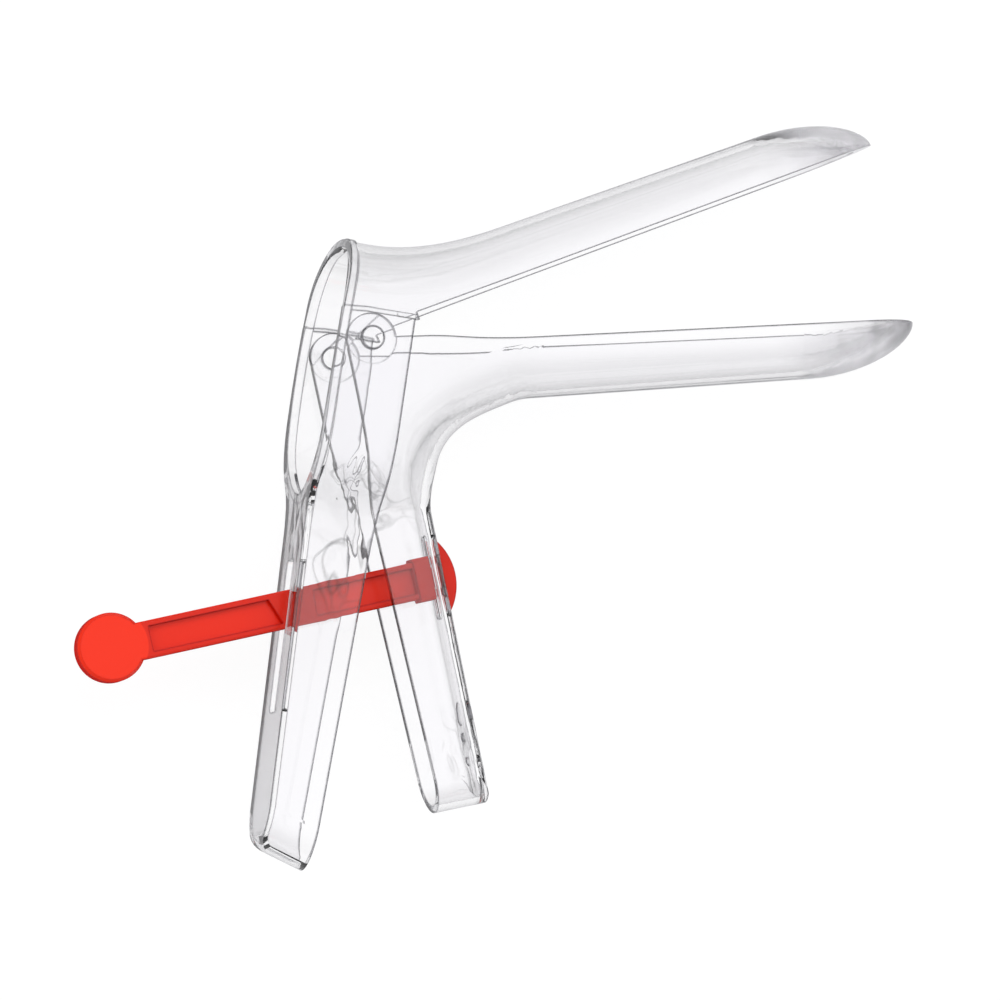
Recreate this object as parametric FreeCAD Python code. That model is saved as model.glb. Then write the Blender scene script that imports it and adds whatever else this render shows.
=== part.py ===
import FreeCAD, Part
import math
import os

# A disposable bivalve speculum: two clear mouldings hinged at the cheeks, and a red
# locking strap. It lies on the outer face of its far cheek, as on an instrument tray.
# X runs along the lower blade to its tip, Y from the handles up to the upper blade, and
# Z across the object. The hinge axis is parallel to Z and meets the resting face at the origin.
# Every shape is drawn about the mid-plane, and lifted by half the width at the end.

# Driving dimensions, millimetres and degrees
cheek_half = 18.0          # mid-plane to the outer face of a hinge cheek
wall = 1.5                 # wall of both mouldings
side_gap = 0.4             # between the lower valve's ears and the cheeks outside them
opening = 17.0             # angle between the blades as drawn

blade_half = 12.6          # half the width of each blade
blade_depth = 10.4         # blade edge to crown, near the tip
blade_reach = 124.0        # hinge to the tip
tip_round = 12.0           # length of the rounded nose, seen from above
tip_fall = 24.0            # length over which the crown falls to the nose
tip_wall = 4.0             # solid stretch at the nose

stud_radius = 2.3          # hinge stud moulded on the lower valve's ear
stud_clearance = 0.05
stud_inset = 0.1           # stud end below the cheek's outer face
ear_radius = 5.3

rim_top = (-0.9, 22.7)     # throat rim, at the mid-plane
rim_foot = (-14.4, -31.8)
rim_bow = 1.0              # how far the rim's sides bow towards the user
rim_bead = 1.9             # rim bead, both ways
rim_rounding = 0.8         # rounding of the bead's edges on the user's side
collar_half = 17.8         # collar behind the bead, half width

front_half = 9.0           # front handle, half width
front_tilt = 11.7          # front plate, from the vertical
front_foot = -102.6        # height of the front handle's lowest point, at its plate
draw_angle = 23.0          # slope of the front handle's shoulders
floor_angle = 30.0         # slope of its floor
front_round = 7.6          # height of the floor's half round
front_corner = 4.0         # side view: corner between the plate and the floor
front_edge_foot = -19.7    # side view: x where the tray's open edge meets the floor
step_height = 0.8          # shelf where the cheek pads step out from the funnel
front_slot_top = -43.5     # slot for the strap, heights on the plate
front_slot_foot = -74.9
front_slot_width = 5.6

nest_gap = 0.5             # the rear handle fits inside the front one
rear_tilt = 7.2            # back plate, from the vertical
rear_foot = -98.2          # height of the rear handle's lowest point, at its front edge
rear_round = 6.0           # height of its half round
rear_slot_length = 17.5
rear_slot_width = 5.6
bump_offset = 3.4          # snap bumps, either side of the strap's neck
bump_size = 1.5
bump_reach = 0.9           # how far a bump narrows the slot

bend_centre = (38.0, -34.6)  # the lower valve's crown runs round this point
bend_end = 25.0            # crown radius where the handle starts

strap_tilt = 8.5           # strap axis, from the X axis
strap_height = 7.8
strap_width = 4.5
neck_radius = 2.1
neck_height = -48.9        # strap axis, where it crosses the back plate
plate_play = 0.3           # strap's collar and head, clear of the back plate
head_chord = 15.7          # flat half-moon head behind the back plate
head_depth = 2.9
collar_height = 9.2        # collar in front of it
collar_width = 5.2
collar_length = 3.8
inner_recess = (4.4, 26.4)   # recessed stretches, from the back plate along the strap
outer_recess = (33.8, 61.9)
recess_flange = 1.2
recess_depth = 1.5
knob_distance = 70.3
knob_radius = 7.2
knob_bevel = 0.6
pin_mark = ((17.0, -77.7), 2.5)     # round ejector mark in the back plate, and its radius
gate_mark = ((17.2, -82.7), (18.7, -87.6))   # where the plastic was let in
mark_depth = 0.25

# Worked out from those, or seldom changed
cheek_inner = cheek_half - wall
ear_half = cheek_inner - side_gap
rear_half = front_half - wall - nest_gap
edge_drop = 0.9            # lower blade's edge below the hinge
edge_rise = 1.8            # upper blade's edge above it, with the blades parallel
far = 200.0                # longer than anything here


def vector(point, z=0.0):
    return FreeCAD.Vector(point[0], point[1], z)


def heading(degrees):
    """Unit vector in the side view, from the X axis."""
    turn = math.radians(degrees)
    return FreeCAD.Vector(math.cos(turn), math.sin(turn), 0)


def turned(shape, degrees):
    """A copy swung about the hinge axis."""
    copy = shape.copy()
    copy.rotate(FreeCAD.Vector(0, 0, 0), FreeCAD.Vector(0, 0, 1), degrees)
    return copy


def slab(edges, half=40.0):
    """A side-view outline, made solid across the whole width."""
    face = Part.Face(Part.Wire(Part.__sortEdges__(edges)))
    face.translate(FreeCAD.Vector(0, 0, -half))
    return face.extrude(FreeCAD.Vector(0, 0, 2 * half))


def slab_from(points, half=40.0):
    corners = [vector(p) for p in points]
    return slab(Part.makePolygon(corners + corners[:1]).Edges, half)


def trough(crown, towards, half, depth, corner, drop):
    """Poles of a closed U section, strip by strip. crown is its outermost point, and
    towards points from there to the open side."""
    side = FreeCAD.Vector(0, 0, 1)
    flat = half - corner
    pull = 0.5523          # a cubic's poles for a quarter of an ellipse

    def at(across, along):
        return crown + side * across + towards * along

    def quarter(start, bend, end):
        return [start, start + (bend - start) * pull, end + (bend - end) * pull, end]

    return [
        [at(-half, depth), at(-half, drop)],
        quarter(at(-half, drop), at(-half, 0), at(-flat, 0)),
        [at(-flat, 0), at(flat, 0)],
        quarter(at(flat, 0), at(half, 0), at(half, drop)),
        [at(half, drop), at(half, depth)],
        [at(half, depth), at(-half, depth)],
    ]


def strip_surface(rows, places, before, after):
    """One strip of a skin. Every pole of the section runs along its own cubic, or along a
    line where there are only two sections. before and after are the directions of the
    straight runs next to it."""
    poles = []
    for k, column in enumerate(zip(*rows)):
        curve = Part.BSplineCurve()
        if len(column) == 2:
            curve.buildFromPolesMultsKnots(list(column), [2, 2], places, False, 1)
        else:
            ends = {}
            if before:
                ends["InitialTangent"] = before[k]
            if after:
                ends["FinalTangent"] = after[k]
            curve.interpolate(Points=list(column), Parameters=places, **ends)
        poles.append(curve.getPoles())
    degree = len(poles) - 1
    surface = Part.BSplineSurface()
    surface.buildFromPolesMultsKnots(poles, [degree + 1, degree + 1], curve.getMultiplicities(),
                                     [0.0, 1.0], curve.getKnots(), False, False, degree, curve.Degree)
    return surface.toShape()


def cap(section):
    edges = []
    for strip in section:
        curve = Part.BezierCurve()
        curve.setPoles(strip)
        edges.append(curve.toShape())
    return Part.Face(Part.Wire(edges))


def directions(first, last, strip):
    """The way each pole of a strip goes along a straight run."""
    return [(q - p).normalize() for p, q in zip(first[strip], last[strip])]


def skin(runs):
    """Solid through U sections, in runs that share their end stations. A run of two
    stations is straight, and its neighbours leave it smoothly. A station is (crown,
    towards, half width, depth, corner width, corner drop)."""
    sections = [[trough(*station) for station in run] for run in runs]
    faces = []
    for n, run in enumerate(sections):
        places = [0.0]
        for last, this in zip(run, run[1:]):
            steps = [(q - p).Length for a, b in zip(last, this) for p, q in zip(a, b)]
            places.append(places[-1] + sum(steps) / len(steps))
        curved = len(run) > 2
        for k in range(len(run[0])):
            before = None
            after = None
            if curved and n > 0:
                before = directions(sections[n - 1][0], run[0], k)
            if curved and n < len(runs) - 1:
                after = directions(run[-1], sections[n + 1][-1], k)
            faces.append(strip_surface([section[k] for section in run], places, before, after))
    faces += [cap(sections[0][0]), cap(sections[-1][-1])]
    shell = Part.makeShell(faces)
    shell.sewShape()
    solid = Part.makeSolid(shell)
    if solid.Volume < 0:
        solid.reverse()
    return solid


def nose_stations(edge, side, inset):
    """Over a blade's rounded nose. side is +1 where the edge lies above the crown, and
    inset is 0 for the outside and the wall for the hollow."""
    reach = blade_reach - (tip_wall if inset else 0.0)
    stations = []
    for turn in (0.0, 15.0, 30.0, 45.0, 60.0, 74.0, 84.0):
        share = math.sin(math.radians(turn))
        x = reach - tip_fall * (1 - share)
        beside = max(0.0, x - (reach - tip_round)) / tip_round
        half = (blade_half - inset) * math.sqrt(1 - beside ** 2)
        depth = (blade_depth - inset) * (1 - share ** 2) ** 0.6
        crown = FreeCAD.Vector(x, edge - side * depth, 0)
        stations.append((crown, FreeCAD.Vector(0, side, 0), half, depth + (11.0 if inset else 3.0),
                         0.97 * half, 0.96 * depth))
    return stations


def inset_station(station, inset):
    """The same station for the hollow: one wall in, and open well past the edge."""
    crown, towards, half, depth, corner, drop = station
    if not inset:
        return station
    return (crown + towards * inset, towards, half - inset, depth + 8.0,
            corner - 0.7 * inset, drop - 0.7 * inset)


def lower_profile():
    """Side outline: ear, blade edge, and the front edge down the handle."""
    edge = -edge_drop
    shoulder = 0.2
    tangent = math.degrees(math.asin(shoulder / ear_radius))
    ear_start = heading(tangent) * ear_radius
    ear_top = heading(90) * ear_radius
    ear_end = heading(186.5) * ear_radius
    knee = vector((-1.7, -27.0))
    foot = vector((10.6, -104.0))
    bulge = Part.BSplineCurve()
    bulge.interpolate([vector((34.0, edge)), vector((22.0, -0.45)), vector((13.0, shoulder))],
                      InitialTangent=FreeCAD.Vector(-1, 0, 0), FinalTangent=FreeCAD.Vector(-1, 0.02, 0))
    return slab([
        Part.makeLine(vector((blade_reach + 5, edge)), vector((34.0, edge))),
        bulge.toShape(),
        Part.makeLine(vector((13.0, shoulder)), ear_start),
        Part.Arc(ear_start, ear_top, ear_end).toShape(),
        Part.makeLine(ear_end, knee),
        Part.makeLine(knee, foot),
        Part.makeLine(foot, vector((blade_reach + 5, -104.0))),
        Part.makeLine(vector((blade_reach + 5, -104.0)), vector((blade_reach + 5, edge))),
    ])


def bend_stations():
    """Round the throat, from the blade to the handle: angle, crown radius, half width,
    corner, drop."""
    shape = (
        (90.0, 22.3, 12.9, 12.4, 10.2),
        (104.0, 21.9, 13.5, 12.7, 10.5),
        (118.0, 22.1, 14.5, 13.0, 10.8),
        (132.0, 23.2, 15.6, 12.9, 10.8),
        (146.0, 24.5, ear_half - 0.05, 11.9, 10.2),
        (157.0, bend_end, 15.6, 10.6, 9.2),
        (165.0, bend_end, 14.3, 9.0, 7.8),
        (172.0, bend_end, 11.1, 6.6, 5.8),
        (179.0, bend_end, rear_half + 1.1, 4.2, 3.9),
        (180.0 + rear_tilt, bend_end, rear_half, 2.6, 2.6),
    )
    stations = []
    for angle, radius, half, corner, drop in shape:
        crown = vector(bend_centre) + heading(angle) * radius
        stations.append((crown, heading(angle), half, 30.0, corner, drop))
    return stations


def handle_floor(half, height, foot, tilt):
    """What lies below a rounded handle end: a block less a round bar that runs along the
    handle's depth, tilted, with its lowest line through the point foot. height is how
    far up the sides the round reaches."""
    axis = heading(tilt)
    up = heading(tilt + 90.0)
    radius = (half ** 2 + height ** 2) / (2 * height)
    block = Part.makeBox(2 * far, far, 2 * far, FreeCAD.Vector(-far, -far, -far))
    block.rotate(FreeCAD.Vector(0, 0, 0), FreeCAD.Vector(0, 0, 1), tilt)
    block.translate(foot + up * height)
    bar = Part.makeCylinder(radius, 2 * far, foot + up * radius - axis * far, axis)
    return block.cut(bar)


def back_plate_point(height):
    """The outer face of the back plate at this height, at the mid-plane."""
    start = vector(bend_centre) + heading(180.0 + rear_tilt) * bend_end
    return FreeCAD.Vector(start.x + (start.y - height) * math.tan(math.radians(rear_tilt)), height, 0)


def rear_slot():
    """Slot in the back plate, with two pairs of snap bumps that hold the strap's neck."""
    centre = back_plate_point(neck_height)
    length = rear_slot_length
    width = rear_slot_width
    slot = Part.makeBox(12.0, length, width, FreeCAD.Vector(-6.0, -length / 2, -width / 2))
    slot = slot.makeFillet(1.2, [e for e in slot.Edges if abs(e.BoundBox.XLength - 12.0) < 1e-6])
    for up in (-1, 1):
        for side in (-1, 1):
            bump = Part.makeBox(14.0, bump_size, 2 * bump_reach,
                                FreeCAD.Vector(-7.0, up * bump_offset - bump_size / 2,
                                               side * width / 2 - bump_reach))
            slot = slot.cut(bump)
    slot.rotate(FreeCAD.Vector(0, 0, 0), FreeCAD.Vector(0, 0, 1), rear_tilt)
    slot.translate(centre)
    return slot


def lower_skin(inset):
    """From the nose, along the blade, round the throat and down the handle."""
    nose = nose_stations(-edge_drop, 1, inset)[::-1]
    bend = [inset_station(station, inset) for station in bend_stations()]
    crown, towards, half, depth, corner, drop = bend[-1]
    foot = (crown + heading(-90.0 + rear_tilt) * 75.0, towards, half, depth, corner, drop)
    return skin([nose, [nose[-1], bend[0]], bend, [bend[-1], foot]])


def back_plate_mark(place, radius):
    """A shallow round mark in the inner face of the back plate."""
    inwards = heading(180.0 + rear_tilt)
    face = back_plate_point(place[1]) + inwards * wall
    return Part.makeCylinder(radius, 5.0, face - inwards * mark_depth, inwards)


def lower_valve():
    outer = lower_skin(0.0)
    inner = lower_skin(wall)
    foot = FreeCAD.Vector(9.3, rear_foot, 0)
    floor = FreeCAD.Vector(9.3, rear_foot + wall, 0)
    outer = outer.cut(handle_floor(rear_half, rear_round, foot, rear_tilt))
    inner = inner.cut(handle_floor(rear_half - wall, rear_round - wall / 2, floor, rear_tilt))
    body = outer.cut(inner).common(lower_profile())
    body = body.cut(rear_slot()).cut(back_plate_mark(*pin_mark))
    for place in gate_mark:
        body = body.cut(back_plate_mark(place, 0.9))
    for side in (-1, 1):
        ear = Part.makeCylinder(ear_radius, wall, FreeCAD.Vector(0, 0, ear_half - wall))
        stud = Part.makeCylinder(stud_radius, wall + side_gap + wall - stud_inset,
                                 FreeCAD.Vector(0, 0, ear_half - wall))
        pin = ear.fuse(stud)
        if side < 0:
            pin = pin.mirror(FreeCAD.Vector(0, 0, 0), FreeCAD.Vector(0, 0, 1))
        body = body.fuse(pin)
    return body.removeSplitter()


def front_line_x(height):
    """Side view: x of the front plate's outer face at this height."""
    return rim_foot[0] + (height - rim_foot[1]) * math.tan(math.radians(front_tilt))


def front_arc(shift=0.0):
    """Side view: three points on the throat rim's bowed front, shifted inwards. The arc
    starts well above the rim and ends at its foot."""
    top = vector(rim_top)
    foot = vector(rim_foot)
    chord = (foot - top).Length
    out = FreeCAD.Vector(foot.y - top.y, top.x - foot.x, 0).normalize()
    radius = (chord ** 2 / 4 + rim_bow ** 2) / (2 * rim_bow)
    centre = (top + foot) * 0.5 - out * (radius - rim_bow)
    reach = math.degrees(math.asin(chord / 2 / radius))

    def at(turn):
        point = out * radius
        swing = math.radians(turn)
        swung = FreeCAD.Vector(point.x * math.cos(swing) - point.y * math.sin(swing),
                               point.x * math.sin(swing) + point.y * math.cos(swing), 0)
        return centre + swung - out * shift

    return at(-2.0 * reach), at(0.0), at(reach)


step_line = ((-9.0, 7.4), (-0.6, 6.4), (3.2, 5.6), (10.2, 4.2))   # top of the cheek pads


def tray_profile(inset, distal):
    """Side outline of the cheeks and front handle, down to the floor."""
    start, middle, end = front_arc(inset)
    along = heading(-floor_angle)
    corner = front_point(front_foot, 0) + FreeCAD.Vector(inset, inset, 0)
    up = (front_point(0.0, 0) - front_point(front_foot, 0)).normalize()
    half_angle = up.getAngle(along) / 2
    radius = front_corner - inset
    arc_start = corner + up * (radius / math.tan(half_angle))
    arc_end = corner + along * (radius / math.tan(half_angle))
    arc_middle = corner + (up + along).normalize() * (radius / math.sin(half_angle) - radius)
    across = front_edge_foot + distal - corner.x
    foot = corner + along * (across / math.cos(math.radians(floor_angle)))
    path = [arc_end, foot, FreeCAD.Vector(-0.2 + distal, -37.1, 0), FreeCAD.Vector(9.6 + distal, 4.4, 0),
            FreeCAD.Vector(9.6 + distal, 60.0, 0), FreeCAD.Vector(start.x, 60.0, 0), start]
    edges = [Part.Arc(start, middle, end).toShape(), Part.makeLine(end, arc_start),
             Part.Arc(arc_start, arc_middle, arc_end).toShape()]
    for a, b in zip(path, path[1:]):
        edges.append(Part.makeLine(a, b))
    return slab(edges)


def below_step():
    return slab_from([(-60.0, 7.4)] + list(step_line) + [(60.0, 4.2), (60.0, -160.0), (-60.0, -160.0)])


def front_point(height, across):
    return FreeCAD.Vector(front_line_x(height), height, across)


def moved_out(curve, points, normal, step):
    """Points of a curve, moved sideways off it in the plane with this normal."""
    moved = []
    for point in points:
        along = curve.tangent(curve.parameter(point))[0]
        moved.append(point + along.cross(normal).normalize() * step)
    return moved


def handle_outline(inset):
    """Front view of cheeks and handle, drawn on the plane of the front plate. It runs past
    the handle's end, which its floor cuts off."""
    shoulder = ((-13.0, cheek_half), (-19.5, cheek_half - 0.8), (-25.0, cheek_half - 3.4),
                (-29.5, front_half + 2.0), (-34.0, front_half + 0.5), (-40.0, front_half))
    top = 20.0
    low = -125.0
    down = (front_point(low, 0) - front_point(top, 0)).normalize()
    normal = FreeCAD.Vector(-down.y, down.x, 0)
    edges = []
    for side in (1, -1):
        points = [front_point(h, side * w) for h, w in shoulder]
        curve = Part.BSplineCurve()
        curve.interpolate(points, InitialTangent=down, FinalTangent=down)
        points = moved_out(curve, points, normal, -side * inset)
        curve.interpolate(points, InitialTangent=down, FinalTangent=down)
        edges.append(curve.toShape())
        edges.append(Part.makeLine(front_point(top, side * (cheek_half - inset)), points[0]))
        edges.append(Part.makeLine(points[-1], front_point(low, side * (front_half - inset))))
    for height, half in ((top, cheek_half - inset), (low, front_half - inset)):
        edges.append(Part.makeLine(front_point(height, half), front_point(height, -half)))
    return Part.Wire(Part.__sortEdges__(edges))


def drawn(wire, start=-30.0, length=80.0):
    """A front-view outline made solid along the mould's draw."""
    draw = heading(-draw_angle)
    face = Part.Face(wire)
    face.translate(draw * start)
    return face.extrude(draw * length)


def rim_normal():
    down = (vector(rim_foot) - vector(rim_top)).normalize()
    return FreeCAD.Vector(-down.y, down.x, 0)


def rim_oval(offset):
    """The throat rim's outline, drawn on the plane through the rim's top and foot."""
    full = cheek_half
    side = ((rim_top[1], 0.0), (20.8, 9.8), (16.4, 14.4), (10.0, full - 1.0), (2.0, full), (-6.0, full),
            (-14.0, full - 0.6), (-21.3, full - 2.4), (-26.5, 11.4), (-29.8, 6.8), (rim_foot[1], 0.0))
    slope = (rim_foot[0] - rim_top[0]) / (rim_foot[1] - rim_top[1])

    def at(height, across):
        return FreeCAD.Vector(rim_top[0] + (height - rim_top[1]) * slope, height, across)

    points = [at(h, w) for h, w in side] + [at(h, -w) for h, w in side[-2:0:-1]]
    curve = Part.BSplineCurve()
    curve.interpolate(points, PeriodicFlag=True)
    curve.interpolate(moved_out(curve, points, rim_normal(), offset), PeriodicFlag=True)
    return Part.Wire(curve.toShape())


def oval_prism(offset, back, ahead):
    normal = rim_normal()
    face = Part.Face(rim_oval(offset))
    face.translate(normal * -back)
    return face.extrude(normal * (back + ahead))


def rim_band():
    """Side view: the strip that the rim bead takes up."""
    outer_start, outer_middle, outer_end = front_arc(0.0)
    inner_start, inner_middle, inner_end = front_arc(rim_bead)
    down = (vector(rim_foot) - vector(rim_top)).normalize() * 6.0
    edges = [
        Part.Arc(outer_start, outer_middle, outer_end).toShape(),
        Part.makeLine(outer_end, outer_end + down),
        Part.makeLine(outer_end + down, inner_end + down),
        Part.makeLine(inner_end + down, inner_end),
        Part.Arc(inner_end, inner_middle, inner_start).toShape(),
        Part.makeLine(inner_start, outer_start),
    ]
    return slab(edges)


def front_rim_edges(bead):
    """The bead's long edges on the user's side of the rim's middle line."""
    start, middle, end = front_arc(rim_bead / 2)
    front = Part.Arc(start, middle, end)
    edges = []
    for edge in bead.Edges:
        point = edge.valueAt((edge.FirstParameter + edge.LastParameter) / 2)
        flat = FreeCAD.Vector(point.x, point.y, 0)
        nearest = front.value(front.parameter(flat))
        if flat.x < nearest.x and edge.Length > 20.0:
            edges.append(edge)
    return edges


def upper_skin(inset):
    """Funnel and blade, with the blades parallel: x, y and tilt of the crown, half width,
    depth, corner and drop of each funnel section."""
    funnel = (
        (2.4, 24.8, 36.0, collar_half + 0.2, 27.0, 17.4, 12.0),
        (9.2, 19.9, 30.0, collar_half - 0.3, 27.0, 17.0, 12.0),
        (17.2, 16.3, 19.0, 16.4, 25.0, 15.9, 11.5),
        (27.0, 14.0, 7.5, 14.7, 21.0, 14.2, 11.0),
        (40.0, 13.1, 0.8, 13.2, 16.0, 12.8, 10.7),
    )
    stations = []
    for x, y, tilt, half, depth, corner, drop in funnel:
        station = (FreeCAD.Vector(x, y, 0), heading(-90.0 - tilt), half, depth, corner, drop)
        stations.append(inset_station(station, inset))
    nose = nose_stations(edge_rise, -1, inset)
    return skin([stations, [stations[-1], nose[0]], nose])


def upper_blade():
    """Funnel and blade, drawn with the blades parallel and then opened."""
    outer = upper_skin(0.0)
    inner = upper_skin(wall)
    keep = slab_from([(-40.0, 60.0), (-40.0, -30.0), (11.2, -30.0), (11.2, edge_rise),
                      (blade_reach + 5, edge_rise), (blade_reach + 5, 60.0)])
    shell = outer.cut(inner).common(keep)
    return turned(shell, opening), turned(inner, opening)


def front_slot():
    """Slot in the front plate for the strap to run in."""
    down = (front_point(-60.0, 0) - front_point(-50.0, 0)).normalize()
    top = front_point(front_slot_top, 0)
    foot = front_point(front_slot_foot, 0)
    length = (foot - top).Length
    width = front_slot_width
    slot = Part.makeBox(12.0, length, width, FreeCAD.Vector(-6.0, -length / 2, -width / 2))
    slot = slot.makeFillet(1.2, [e for e in slot.Edges if abs(e.BoundBox.XLength - 12.0) < 1e-6])
    slot.rotate(FreeCAD.Vector(0, 0, 0), FreeCAD.Vector(0, 0, 1), -front_tilt)
    slot.translate((top + foot) * 0.5)
    return slot


def upper_valve():
    blade, throat = upper_blade()
    foot = front_point(front_foot, 0)
    floor = foot + FreeCAD.Vector(0, wall / math.cos(math.radians(floor_angle)), 0)
    tray = drawn(handle_outline(0.0)).common(tray_profile(0.0, 0.0)).common(below_step())
    tray = tray.cut(handle_floor(front_half, front_round, foot, -floor_angle))
    hollow = drawn(handle_outline(wall)).common(tray_profile(wall, 30.0))
    hollow = hollow.cut(handle_floor(front_half - wall, front_round - wall / 2, floor, -floor_angle))
    tray = tray.cut(hollow)

    start, middle, end = front_arc(0.0)
    corners = [end, FreeCAD.Vector(far, end.y, 0), FreeCAD.Vector(far, start.y, 0), start]
    ahead = slab([Part.Arc(start, middle, end).toShape()]
                 + [Part.makeLine(a, b) for a, b in zip(corners, corners[1:])])
    above = slab_from([(-60.0, 7.4 - step_height)] + [(x, y - step_height) for x, y in step_line]
                      + [(far, -10.0), (far, far), (-60.0, far)])
    blade = blade.common(above).common(ahead)

    shelf = slab_from(list(step_line) + [(x, y - step_height) for x, y in step_line[::-1]], cheek_half)
    shelf = shelf.common(tray_profile(0.0, 0.0)).cut(throat)

    bead = oval_prism(0.0, 20.0, 30.0).cut(oval_prism(-rim_bead, 25.0, 35.0)).common(rim_band())
    bead = bead.Solids[0]
    bead = bead.makeFillet(rim_rounding, front_rim_edges(bead))
    between = Part.makeBox(2 * far, 2 * far, 2 * cheek_half, FreeCAD.Vector(-far, -far, -cheek_half))
    body = tray.fuse([blade, shelf]).removeSplitter().fuse(bead).common(between)
    opening_cut = oval_prism(-rim_bead, 20.0, 16.0)
    inside = slab_from([(-60.0, -33.0), (6.0, -33.0), (6.0, 60.0), (-60.0, 60.0)], cheek_inner)
    body = body.cut(opening_cut.common(inside))
    hole = Part.makeCylinder(stud_radius + stud_clearance, 4 * cheek_half,
                             FreeCAD.Vector(0, 0, -2 * cheek_half))
    return body.cut(hole).cut(front_slot())


def strap():
    """Drawn along its own axis from the back plate's inner face, then set in place."""
    height = strap_height
    width = strap_width
    start = plate_play + collar_length
    bar = Part.makeBox(knob_distance - start, height, width,
                       FreeCAD.Vector(start, -height / 2, -width / 2))
    bar = bar.makeFillet(0.5, [e for e in bar.Edges if e.BoundBox.XLength > 20.0])
    knob = Part.makeCylinder(knob_radius, width, FreeCAD.Vector(knob_distance, 0, -width / 2))
    knob = knob.makeChamfer(knob_bevel, [e for e in knob.Edges if len(e.Vertexes) == 1])
    body = bar.fuse(knob)
    inner_height = height - 2 * recess_flange
    for first, last in (inner_recess, outer_recess):
        for side in (-1, 1):
            slant = 1.0 if first > 20.0 else 0.0
            floor = side * (width / 2 - recess_depth)
            points = [(first + 2 * slant, -inner_height / 2), (last, -inner_height / 2),
                      (last, inner_height / 2), (first, inner_height / 2)]
            corners = [FreeCAD.Vector(x, y, floor) for x, y in points]
            pocket = Part.Face(Part.makePolygon(corners + corners[:1]))
            body = body.cut(pocket.extrude(FreeCAD.Vector(0, 0, side * 5.0)))
    collar = Part.makeBox(collar_length, collar_height, collar_width,
                          FreeCAD.Vector(plate_play, -collar_height / 2, -collar_width / 2))
    collar = collar.makeFillet(1.0, [e for e in collar.Edges if e.BoundBox.XLength > collar_length - 0.01])
    neck_start = -wall - plate_play - 0.5
    neck = Part.makeCylinder(neck_radius, plate_play + 0.5 - neck_start, FreeCAD.Vector(neck_start, 0, 0),
                             FreeCAD.Vector(1, 0, 0))
    face = -wall - plate_play
    ends = [FreeCAD.Vector(face, side * head_chord / 2, -width / 2) for side in (-1, 1)]
    back = Part.Arc(ends[0], FreeCAD.Vector(face - head_depth, 0, -width / 2), ends[1])
    moon = Part.Face(Part.Wire([back.toShape(), Part.makeLine(ends[1], ends[0])]))
    head = moon.extrude(FreeCAD.Vector(0, 0, width))
    body = body.fuse([collar, neck, head]).removeSplitter()
    body.rotate(FreeCAD.Vector(0, 0, 0), FreeCAD.Vector(0, 0, 1), 180.0 + strap_tilt)
    body.translate(back_plate_point(neck_height) - heading(rear_tilt) * wall)
    return body


def main():
    os.makedirs("parts", exist_ok=True)
    parts = {"upper_valve": upper_valve(), "lower_valve": lower_valve(), "locking_strap": strap()}
    for name, shape in parts.items():
        shape.translate(FreeCAD.Vector(0, 0, cheek_half))
        print(name, len(shape.Solids), "solid", round(shape.Volume, 1), "mm3", shape.BoundBox)
        shape.exportStep("parts/" + name + ".step")


main()
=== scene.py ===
# %% [markdown]
# # A clear plastic speculum with a red locking strap
# The finished part has three mouldings: two clear valves hinged at the cheeks, and a red
# strap that runs from the rear handle through the front one. Their shapes are loaded as a
# fixed frame, and this lesson gives them their finish, a studio and a camera.

import bpy
from mathutils import Matrix, Vector

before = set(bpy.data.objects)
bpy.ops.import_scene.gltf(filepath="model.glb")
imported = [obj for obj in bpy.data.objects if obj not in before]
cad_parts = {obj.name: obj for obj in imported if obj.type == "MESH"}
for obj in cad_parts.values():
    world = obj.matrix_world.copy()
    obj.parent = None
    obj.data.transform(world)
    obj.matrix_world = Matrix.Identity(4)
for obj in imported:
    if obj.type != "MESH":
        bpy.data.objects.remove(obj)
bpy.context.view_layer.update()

print("nodes:", sorted(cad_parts))

# %% [markdown]
# ## The camera
# The photograph was taken from about 1.2 m away, a little to the left of the handles and
# below them, so the far cheek shows beside the near one. A long lens from that place gives
# the same slight perspective. The three directions below are the picture's right, its up
# and the way back to the camera, as seen from the object.

# %% Camera
right = Vector((0.95891884, -0.08184029, 0.27161889))
down = Vector((-0.05487336, -0.99290997, -0.10544531))
forward = Vector((0.27832277, 0.08620885, -0.95661093))
eye = Vector((-0.30602614, -0.13747377, 1.17100219))

camera_data = bpy.data.cameras.new("camera")
camera_data.sensor_width = 36.0
camera_data.lens = 206.496
camera_data.clip_start = 0.01
camera_data.clip_end = 20.0
camera = bpy.data.objects.new("camera", camera_data)
bpy.context.scene.collection.objects.link(camera)
turn = Matrix((right, -down, -forward)).transposed()
camera.matrix_world = Matrix.Translation(eye) @ turn.to_4x4()
bpy.context.scene.camera = camera
print("camera distance to the hinge:", round(eye.length, 3))

# %% [markdown]
# ## Shader maths
# Patterns are easier to read as sums than as wires. This small class wraps a socket, so that
# adding, multiplying or raising a value places the Math node. One method adds any other node,
# and takes the links or values of its sockets by name or by number.

# %% Shader helper


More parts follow.
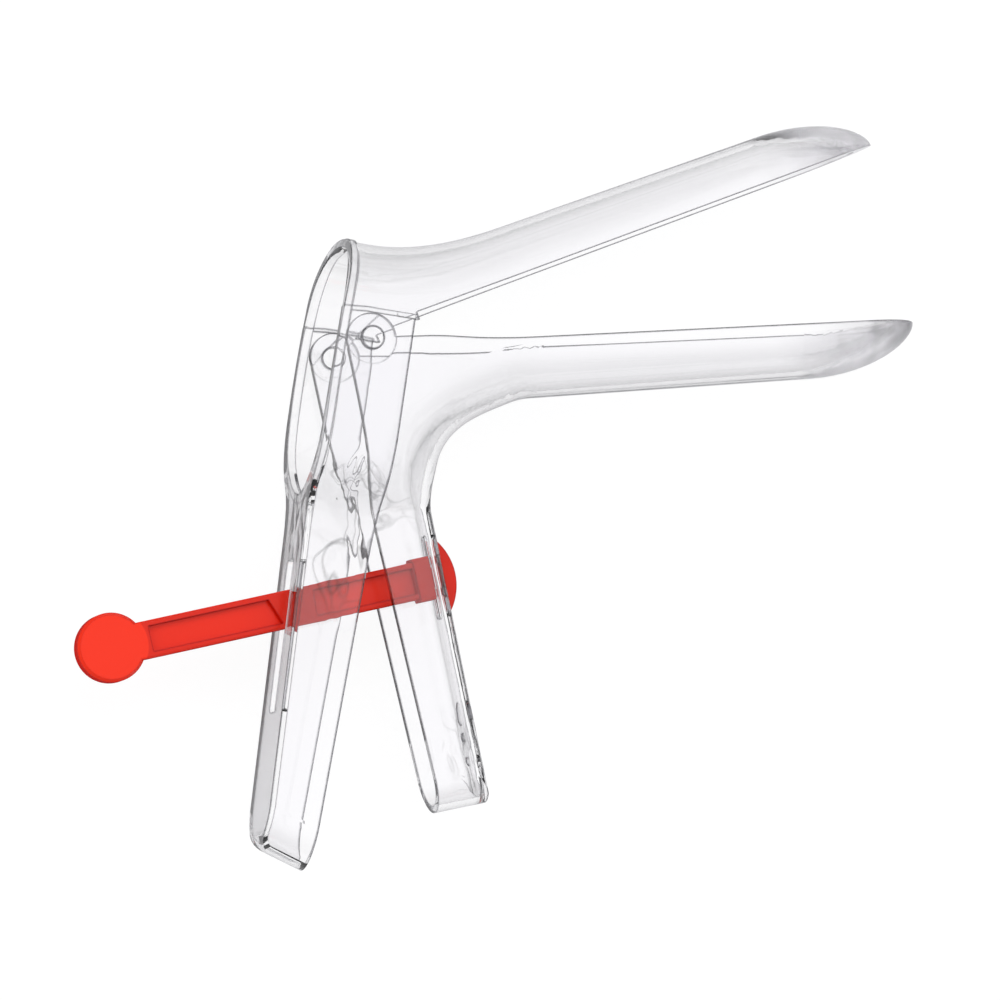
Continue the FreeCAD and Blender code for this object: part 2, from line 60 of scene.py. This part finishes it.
class Sock:
    """A node's output, with the arithmetic that the finishes need."""

    def __init__(self, tree, socket):
        self.tree = tree
        self.socket = socket

    def _maths(self, operation, *values):
        node = self.tree.nodes.new("ShaderNodeMath")
        node.operation = operation
        for place, value in enumerate(values):
            feed(self.tree, node.inputs[place], value)
        return Sock(self.tree, node.outputs[0])

    def __add__(self, other):
        return self._maths("ADD", self, other)

    def __radd__(self, other):
        return self._maths("ADD", other, self)

    def __sub__(self, other):
        return self._maths("SUBTRACT", self, other)

    def __rsub__(self, other):
        return self._maths("SUBTRACT", other, self)

    def __mul__(self, other):
        return self._maths("MULTIPLY", self, other)

    def __rmul__(self, other):
        return self._maths("MULTIPLY", other, self)

    def __pow__(self, other):
        return self._maths("POWER", self, other)

    def __abs__(self):
        return self._maths("ABSOLUTE", self)

    def least(self, other):
        return self._maths("MINIMUM", self, other)


def feed(tree, socket, value):
    """Links a wrapped output to a socket, or sets the socket's own value."""
    if isinstance(value, Sock):
        tree.links.new(value.socket, socket)
    else:
        socket.default_value = value


class Finish:
    """The node tree of one material, or of the world."""

    def __init__(self, owner):
        self.owner = owner
        owner.use_nodes = True
        self.tree = owner.node_tree
        self.tree.nodes.clear()

    def node(self, kind, settings=None, sockets=None, output=0):
        node = self.tree.nodes.new(kind)
        for key, value in (settings or {}).items():
            setattr(node, key, value)
        for key, value in (sockets or {}).items():
            feed(self.tree, node.inputs[key], value)
        return Sock(self.tree, node.outputs[output])

    def blend(self, share, first, second):
        """Two colours mixed: the first where share is 0, the second where it is 1."""
        return self.node("ShaderNodeMix", {"data_type": "RGBA"}, {0: share, 6: first, 7: second}, 2)

    def ramp(self, value, low, high):
        """0 below low, 1 above high, and smooth between."""
        return self.node("ShaderNodeMapRange", {"interpolation_type": "SMOOTHSTEP"},
                         {"Value": value, "From Min": low, "From Max": high})

    def finish(self, shader, kind="ShaderNodeOutputMaterial"):
        out = self.tree.nodes.new(kind)
        self.tree.links.new(shader.socket, out.inputs["Surface"])
        return self.owner


def new_finish(name):
    return Finish(bpy.data.materials.new(name))


print("shader helper ready")

# %% [markdown]
# ## Clear plastic
# The valves are injection-moulded: polished, colourless with a faint lilac cast. Seen straight
# on, such a wall is almost invisible. Seen at a slant, light takes a longer way through it and
# leaves sideways, so the rounded walls darken towards their outlines, and every cut edge reads
# as a thin grey line. Refraction alone doesn't show that on a white floor, because the bent
# light lands on white again. So that shade is painted into the colour: painted shade deepens
# with the slant, by a facing weight raised to a power, and painted shade lines the corners,
# where a rounded normal differs from the plain one.

# %% Clear plastic values
clear_tint = (0.985, 0.982, 0.992, 1.0)
painted_edge_shade = (0.03, 0.029, 0.036, 1.0)
edge_power = 2.3
plastic_ior = 1.58
corner_radius = 0.0006
corner_start = 0.005
corner_full = 0.11
print("index of refraction:", plastic_ior)

# %% Slant and corners


def slant_weight(finish, normal):
    """0 where the surface faces the light's way, up to 1 where it passes it edge-on."""
    sockets = {"Blend": 0.5, "Normal": normal}
    return finish.node("ShaderNodeLayerWeight", sockets=sockets, output=1)


def dot(finish, first, second):
    vectors = {0: first, 1: second}
    return finish.node("ShaderNodeVectorMath", {"operation": "DOT_PRODUCT"}, vectors, "Value")


def distance(finish, place, centre):
    points = {0: place, 1: centre}
    return finish.node("ShaderNodeVectorMath", {"operation": "DISTANCE"}, points, "Value")


def corner_weight(finish):
    """1 on sharp corners, falling to 0 a corner radius away from them."""
    rounded = finish.node("ShaderNodeBevel", {"samples": 6}, {"Radius": corner_radius})
    plain = finish.node("ShaderNodeNewGeometry", output="Normal")
    return finish.ramp(1.0 - dot(finish, rounded, plain), corner_start, corner_full)


print("slant and corner weights ready")

# %% [markdown]
# ### Where the plastic flowed
# The mould was filled through a gate in the rear handle, and the front plate is thick where
# the throat rim meets it. In both places the surface is wavy, and bends what lies behind it
# into streaks. Two round areas get a stretched, stronger ripple, with painted shade along its
# creases where the bent light goes dark. Elsewhere a slow, weak ripple bends the light, as
# moulded plastic does.

# %% Flow areas
flow_areas = (
    ((-0.008, -0.040, 0.030), 0.022),
    ((0.018, -0.086, 0.018), 0.012),
)
flow_core = 0.3
flow_stretch = (1.0, 0.5, 1.0)
flow_height = 0.8
ripple_height = 0.05
crease_level = 0.42
crease_width = 0.035
crease_shade_strength = 0.55


def flow_weight(finish, place):
    """1 in the middle of each flow area, falling to 0 at its radius."""
    total = 0.0
    for centre, radius in flow_areas:
        away = distance(finish, place, centre)
        total = 1.0 - finish.ramp(away, radius * flow_core, radius) + total
    return total.least(1.0)


print("flow areas:", len(flow_areas))

# %% [markdown]
# ### The solid noses
# Each blade ends in a nose that is solid for a few millimetres. Light bounces inside it many
# times, and a renderer that stops counting bounces turns it black. A part of the light is let
# straight through instead, which keeps the noses a soft grey. Painted shade stays at the very tip
# and in a faint crescent before it, where the real noses bend the light away.

# %% Nose values
nose_start = 0.095
nose_end = 0.112
nose_haze = 0.6
nose_grey = (0.86, 0.855, 0.87, 1.0)
crescent_at = 0.1125
crescent_width = 0.0025
crescent_shade = 0.35
tip_start = 0.1175
tip_end = 0.1220
nose_shade_start = 0.25
nose_shade_full = 0.5
nose_shade_strength = 0.9
print("nose from", nose_start, "to the tip")

# %% [markdown]
# ### Light through the walls
# A clear wall casts hardly any shadow. The renderer's lamps can't find a way through bent
# surfaces, and would leave the strap behind the wall dark. So shadow rays, the ones that ask
# whether a lamp is hidden, mostly pass straight through. The camera's own rays still bend.

# %% Clear plastic finish
shadow_share = 0.9
shadow_clear = (0.95, 0.95, 0.96, 1.0)


# Painted shade at the nose tip and in a faint crescent before it.
def nose_tip_shade(finish, along, streaks):
    crescent = 1.0 - finish.ramp(abs(along - crescent_at), 0.0, crescent_width)
    tip = finish.ramp(along, tip_start, tip_end)
    return (crescent * crescent_shade + tip) * finish.ramp(streaks, nose_shade_start, nose_shade_full)


def see_through(finish, body, colour, share):
    """A shader with a share of the light let straight through it."""
    straight = finish.node("ShaderNodeBsdfTransparent", sockets={"Color": colour})
    return finish.node("ShaderNodeMixShader", sockets={0: share, 1: body, 2: straight})


def clear_plastic():
    finish = new_finish("clear_plastic")
    place = finish.node("ShaderNodeTexCoord", output=3)
    ripple = finish.node("ShaderNodeTexNoise", sockets={
        "Vector": place, "Scale": 70.0, "Detail": 1.0,
    })
    stretched = finish.node("ShaderNodeVectorMath", {"operation": "MULTIPLY"},
                            {0: place, 1: flow_stretch})
    streaks = finish.node("ShaderNodeTexNoise", sockets={
        "Vector": stretched, "Scale": 95.0, "Distortion": 1.6, "Detail": 1.0,
    })
    flow = flow_weight(finish, place)
    height = ripple * ripple_height + streaks * flow * flow_height
    bump = finish.node("ShaderNodeBump", sockets={
        "Strength": 1.0, "Distance": 0.001, "Height": height,
    })
    # Painted shade: the colour darkens at a slant, along cut edges, in flow creases and at the nose
    # tip.
    slant = slant_weight(finish, bump) ** edge_power
    # Painted shade along the creases in the flow areas, where the waves bend light away.
    crease = 1.0 - finish.ramp(abs(streaks - crease_level), 0.0, crease_width)
    along = finish.node("ShaderNodeSeparateXYZ", sockets={0: place})
    nose_shade = nose_tip_shade(finish, along, streaks)
    painted_mark_shade = corner_weight(finish) + crease * flow * crease_shade_strength + nose_shade * nose_shade_strength
    painted_shade = slant + painted_mark_shade.least(1.0) * (1.0 - slant)
    glass = finish.node("ShaderNodeBsdfPrincipled", sockets={
        "Base Color": finish.blend(painted_shade, clear_tint, painted_edge_shade),
        "Roughness": ripple * 0.02 + 0.005,
        "IOR": plastic_ior,
        "Transmission Weight": 1.0,
        "Normal": bump,
    })
    haze = finish.ramp(along, nose_start, nose_end) * nose_haze * (1.0 - slant) * (1.0 - nose_shade)
    body = see_through(finish, glass, nose_grey, haze)
    shadow = finish.node("ShaderNodeLightPath", output="Is Shadow Ray") * shadow_share
    return finish.finish(see_through(finish, body, shadow_clear, shadow))


clear = clear_plastic()
print("made", clear.name, "with", len(clear.node_tree.nodes), "nodes")

# %% [markdown]
# ## Red strap plastic
# The strap is an orange red. Painted shade deepens it at a slant, in corners and along the bar,
# most on the flanges that stand above the recesses, where less light comes through; a random
# cloud varies its tone too. The knob, spared the painted shade of the bar, is the brightest part.
# Its gloss is a thin coat that fades at a slant, because a full gloss would mirror the white table
# along the sides and turn them pink. A bevel in the shading softens the sharp drawn edges.

# %% Red plastic values
red_body = (0.95, 0.030, 0.006, 1.0)
red_shade_and_tone = (0.50, 0.004, 0.002, 1.0)
strap_edge_radius = 0.0004
strap_middle = 0.018
recess_floor = 0.0009
flange_top = 0.0018
recess_shade = 0.28
flange_shade = 0.5
corner_shade_strength = 0.45
cloud_deepening = 0.25
slant_power = 1.2
knob_centre = (-0.0564, -0.0593, 0.018)
knob_reach = 0.0078
knob_fade = 0.0004
flat_start = 0.7
flat_full = 0.95
gloss = 0.5
gloss_start = 0.25
gloss_full = 0.6
print("strap's middle is", strap_middle, "above the table")

# %% Red plastic finish


def bar_painted_shade(finish, place):
    """Painted shade on the bar's flat faces, none on the knob: flanges most, recesses less."""
    facing = finish.node("ShaderNodeNewGeometry", output="Normal")
    upward = abs(finish.node("ShaderNodeSeparateXYZ", sockets={0: facing}, output=2))
    height = finish.node("ShaderNodeSeparateXYZ", sockets={0: place}, output=2)
    raised = finish.ramp(abs(height - strap_middle), recess_floor, flange_top)
    away = distance(finish, place, knob_centre)
    on_bar = finish.ramp(away, knob_reach, knob_reach + knob_fade)
    flat = finish.ramp(upward, flat_start, flat_full)
    return on_bar * flat * (raised * (flange_shade - recess_shade) + recess_shade)


def red_plastic():
    finish = new_finish("red_plastic")
    place = finish.node("ShaderNodeTexCoord", output=3)
    cloud = finish.node("ShaderNodeTexNoise", sockets={
        "Vector": place, "Scale": 45.0, "Detail": 3.0,
    })
    soft_edge = finish.node("ShaderNodeBevel", {"samples": 6}, {"Radius": strap_edge_radius})
    bump = finish.node("ShaderNodeBump", sockets={
        "Strength": 0.06, "Distance": 0.001, "Height": cloud, "Normal": soft_edge,
    })
    # Painted shade at a slant, on the bar's flats and in corners; the cloud only varies the tone at
    # random.
    slant = slant_weight(finish, bump)
    corner_painted_shade = corner_weight(finish) * corner_shade_strength
    patchy = (cloud - 0.5) * cloud_deepening
    shade_and_tone = (slant ** slant_power + bar_painted_shade(finish, place) + corner_painted_shade + patchy).least(1.0)
    return finish.finish(finish.node("ShaderNodeBsdfPrincipled", sockets={
        "Base Color": finish.blend(shade_and_tone, red_body, red_shade_and_tone),
        "Roughness": cloud * 0.12 + 0.12,
        "IOR": plastic_ior,
        "Specular IOR Level": 0.0,
        "Transmission Weight": 0.05,
        "Coat Weight": finish.ramp(1.0 - slant, gloss_start, gloss_full) * gloss,
        "Coat Roughness": 0.15,
        "Normal": bump,
    }))


red = red_plastic()
print("made", red.name, "with", len(red.node_tree.nodes), "nodes")

# %% [markdown]
# ## Finish on the mouldings
# The frame's meshes carry the true surface directions of the drawn part, so they shade as
# smoothly as polished plastic. Each moulding keeps its mesh and only gets its finish.

# %% Give the mouldings their finish
for name, material in (("upper_valve", clear), ("lower_valve", clear), ("locking_strap", red)):
    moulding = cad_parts[name]
    for slot in moulding.material_slots:
        slot.material = material
    print(name, len(moulding.data.polygons), "faces,", material.name)

# %% [markdown]
# ## The studio
# The object lies on a white table in a light tent. The table glows white for the camera and
# through the plastic, without lighting the object. A small part of its brightness comes from
# the lamps and the tent, so the object's soft shadow stays on it.

# %% Floor
white = (1.0, 1.0, 1.0, 1.0)
floor_glow = 0.90
floor_paper = (0.13, 0.13, 0.13, 1.0)
plain_paper = (0.85, 0.85, 0.86, 1.0)


def white_floor():
    finish = new_finish("white_floor")
    by_camera = finish.node("ShaderNodeLightPath", output="Is Camera Ray")
    through_plastic = finish.node("ShaderNodeLightPath", output="Is Transmission Ray")
    seen = (by_camera + through_plastic).least(1.0)
    glow = finish.node("ShaderNodeEmission", sockets={"Color": white, "Strength": floor_glow})
    paper = finish.node("ShaderNodeBsdfDiffuse", sockets={"Color": floor_paper})
    shown = finish.node("ShaderNodeAddShader", sockets={0: glow, 1: paper})
    plain = finish.node("ShaderNodeBsdfDiffuse", sockets={"Color": plain_paper})
    return finish.finish(finish.node("ShaderNodeMixShader", sockets={0: seen, 1: plain, 2: shown}))


bpy.ops.mesh.primitive_plane_add(size=6.0, location=(0.05, -0.03, -0.0002))
floor = bpy.context.object
floor.name = "floor"
floor.data.materials.append(white_floor())
print("floor added")

# %% [markdown]
# ## Light
# The tent is bright overhead and dimmer towards the horizon, which gives the polished walls
# soft reflections with no hard shapes. The camera sees it as plain white. Two wide, weak lamps
# add the direction that a single dome lacks. They are hidden from reflections and from the
# bent view through the plastic, where their edges would show as hard white stripes.

# %% World
tent_top = (1.0, 1.0, 1.02, 1.0)
tent_side = (0.45, 0.45, 0.46, 1.0)
tent_rise = 0.4


def light_tent():
    world = bpy.data.worlds.new("light_tent")
    finish = Finish(world)
    direction = finish.node("ShaderNodeTexCoord", output=0)
    height = finish.node("ShaderNodeSeparateXYZ", sockets={0: direction}, output=2)
    colour = finish.blend(finish.ramp(height, tent_rise, 1.0), tent_side, tent_top)
    tent = finish.node("ShaderNodeBackground", sockets={"Color": colour, "Strength": 1.0})
    plain = finish.node("ShaderNodeBackground", sockets={"Color": white, "Strength": 1.0})
    seen = finish.node("ShaderNodeLightPath", output="Is Camera Ray")
    shown = finish.node("ShaderNodeMixShader", sockets={0: seen, 1: tent, 2: plain})
    return finish.finish(shown, "ShaderNodeOutputWorld")


bpy.context.scene.world = light_tent()
print("world:", bpy.context.scene.world.name)

# %% Lamps


def soft_lamp(name, place, aim, size, power):
    data = bpy.data.lights.new(name, "AREA")
    data.shape = "RECTANGLE"
    data.size = size[0]
    data.size_y = size[1]
    data.energy = power
    lamp = bpy.data.objects.new(name, data)
    bpy.context.scene.collection.objects.link(lamp)
    lamp.location = place
    lamp.rotation_euler = (Vector(aim) - Vector(place)).to_track_quat("-Z", "Y").to_euler()
    return lamp


middle = (0.04, -0.03, 0.0)
top_lamp = soft_lamp("top_lamp", (0.2, 0.7, 1.3), middle, (1.4, 1.0), 8.0)
left_lamp = soft_lamp("left_lamp", (-1.2, 0.0, 0.9), middle, (0.8, 1.2), 4.0)
for lamp in (top_lamp, left_lamp):
    lamp.visible_glossy = False
    lamp.visible_transmission = False
bpy.context.scene.view_settings.view_transform = "Standard"
print("lamps added")
